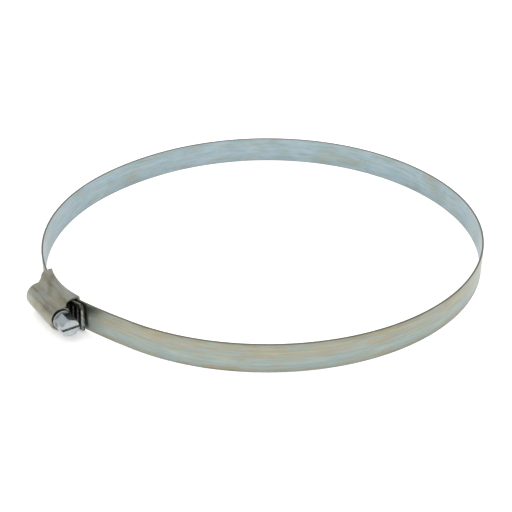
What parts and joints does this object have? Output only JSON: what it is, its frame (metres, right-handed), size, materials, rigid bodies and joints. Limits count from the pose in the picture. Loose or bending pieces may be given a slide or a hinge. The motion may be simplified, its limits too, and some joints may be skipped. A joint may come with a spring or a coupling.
{
  "type": "worm-drive hose clamp",
  "caption": "Worm-drive hose clamp: smooth flat steel band, tubular pressed housing, slotted hexagon worm screw; turning the screw draws the free end through and closes the ring.",
  "frame": {"origin": "centre of the ring, at half the band's width", "axes": "+Z is the hose's axis; the housing sits at about 213 degrees from +X towards +Y, with the screw's head towards +X and -Y; shown fully open"},
  "size_m": [0.1943, 0.1934, 0.0144],
  "materials": {
    "band_steel": "satin zinc plate with a faint passivated tint",
    "housing_steel": "satin zinc plate, formed sheet",
    "screw_steel": "bright zinc plate"
  },
  "bodies": {
    "frame": {"housing": "housing_steel", "band_fixed_end": "band_steel"},
    "screw": {"screw": "screw_steel"},
    "tail": {"band_tail": "band_steel"},
    "length_01": {"band_length_01": "band_steel"},
    "length_02": {"band_length_02": "band_steel"},
    "length_03": {"band_length_03": "band_steel"},
    "length_04": {"band_length_04": "band_steel"},
    "length_05": {"band_length_05": "band_steel"},
    "length_06": {"band_length_06": "band_steel"},
    "length_07": {"band_length_07": "band_steel"},
    "length_08": {"band_length_08": "band_steel"},
    "length_09": {"band_length_09": "band_steel"},
    "length_10": {"band_length_10": "band_steel"},
    "length_11": {"band_length_11": "band_steel"},
    "length_12": {"band_length_12": "band_steel"},
    "length_13": {"band_length_13": "band_steel"},
    "length_14": {"band_length_14": "band_steel"}
  },
  "joints": [
    {"name": "screw_spin", "type": "hinge", "parent": "frame", "child": "screw", "pos_m": [-0.08038, -0.06907, 0], "axis": [-0.5664, 0.8241, 0], "range_deg": [0, 14470]},
    {"name": "tail_feed", "type": "hinge", "parent": "frame", "child": "tail", "pos_m": [0.00185, -0.00466, 0], "axis": [0, 0, 1], "range_deg": [0, 57.52]},
    {"name": "flex_01", "type": "hinge", "parent": "frame", "child": "length_01", "pos_m": [-0.07283, -0.06509, 0], "axis": [0, 0, 1], "range_deg": [0, 3.34]},
    {"name": "flex_02", "type": "hinge", "parent": "length_01", "child": "length_02", "pos_m": [-0.05068, -0.08051, 0], "axis": [0, 0, 1], "range_deg": [0, 3.49]},
    {"name": "flex_03", "type": "hinge", "parent": "length_02", "child": "length_03", "pos_m": [-0.01906, -0.09317, 0], "axis": [0, 0, 1], "range_deg": [0, 3.76]},
    {"name": "flex_04", "type": "hinge", "parent": "length_03", "child": "length_04", "pos_m": [0.01499, -0.09391, 0], "axis": [0, 0, 1], "range_deg": [0, 4.12]},
    {"name": "flex_05", "type": "hinge", "parent": "length_04", "child": "length_05", "pos_m": [0.04711, -0.08261, 0], "axis": [0, 0, 1], "range_deg": [0, 4.53]},
    {"name": "flex_06", "type": "hinge", "parent": "length_05", "child": "length_06", "pos_m": [0.0732, -0.06071, 0], "axis": [0, 0, 1], "range_deg": [0, 4.91]},
    {"name": "flex_07", "type": "hinge", "parent": "length_06", "child": "length_07", "pos_m": [0.08989, -0.03103, 0], "axis": [0, 0, 1], "range_deg": [0, 5.21]},
    {"name": "flex_08", "type": "hinge", "parent": "length_07", "child": "length_08", "pos_m": [0.09506, 0.00263, 0], "axis": [0, 0, 1], "range_deg": [0, 5.37]},
    {"name": "flex_14", "type": "hinge", "parent": "tail", "child": "length_14", "pos_m": [-0.07804, 0.05464, 0], "axis": [0, 0, -1], "range_deg": [0, 3.31]},
    {"name": "flex_13", "type": "hinge", "parent": "length_14", "child": "length_13", "pos_m": [-0.0538, 0.07864, 0], "axis": [0, 0, -1], "range_deg": [0, 3.44]},
    {"name": "flex_12", "type": "hinge", "parent": "length_13", "child": "length_12", "pos_m": [-0.02313, 0.09345, 0], "axis": [0, 0, -1], "range_deg": [0, 3.66]},
    {"name": "flex_11", "type": "hinge", "parent": "length_12", "child": "length_11", "pos_m": [0.01079, 0.09613, 0], "axis": [0, 0, -1], "range_deg": [0, 3.93]},
    {"name": "flex_10", "type": "hinge", "parent": "length_11", "child": "length_10", "pos_m": [0.04327, 0.08597, 0], "axis": [0, 0, -1], "range_deg": [0, 4.16]},
    {"name": "flex_09", "type": "hinge", "parent": "length_10", "child": "length_09", "pos_m": [0.07002, 0.06487, 0], "axis": [0, 0, -1], "range_deg": [0, 4.3]}
  ],
  "couplings": [
    {"joint": "tail_feed", "follows": "screw_spin", "ratio": 0.0039749},
    {"joint": "flex_01", "follows": "screw_spin", "ratio": 0.00023111},
    {"joint": "flex_02", "follows": "screw_spin", "ratio": 0.00024086},
    {"joint": "flex_03", "follows": "screw_spin", "ratio": 0.0002595},
    {"joint": "flex_04", "follows": "screw_spin", "ratio": 0.00028473},
    {"joint": "flex_05", "follows": "screw_spin", "ratio": 0.00031283},
    {"joint": "flex_06", "follows": "screw_spin", "ratio": 0.00033935},
    {"joint": "flex_07", "follows": "screw_spin", "ratio": 0.00035991},
    {"joint": "flex_08", "follows": "screw_spin", "ratio": 0.00037108},
    {"joint": "flex_14", "follows": "screw_spin", "ratio": 0.0002284},
    {"joint": "flex_13", "follows": "screw_spin", "ratio": 0.00023755},
    {"joint": "flex_12", "follows": "screw_spin", "ratio": 0.00025317},
    {"joint": "flex_11", "follows": "screw_spin", "ratio": 0.00027138},
    {"joint": "flex_10", "follows": "screw_spin", "ratio": 0.0002876},
    {"joint": "flex_09", "follows": "screw_spin", "ratio": 0.00029742}
  ]
}
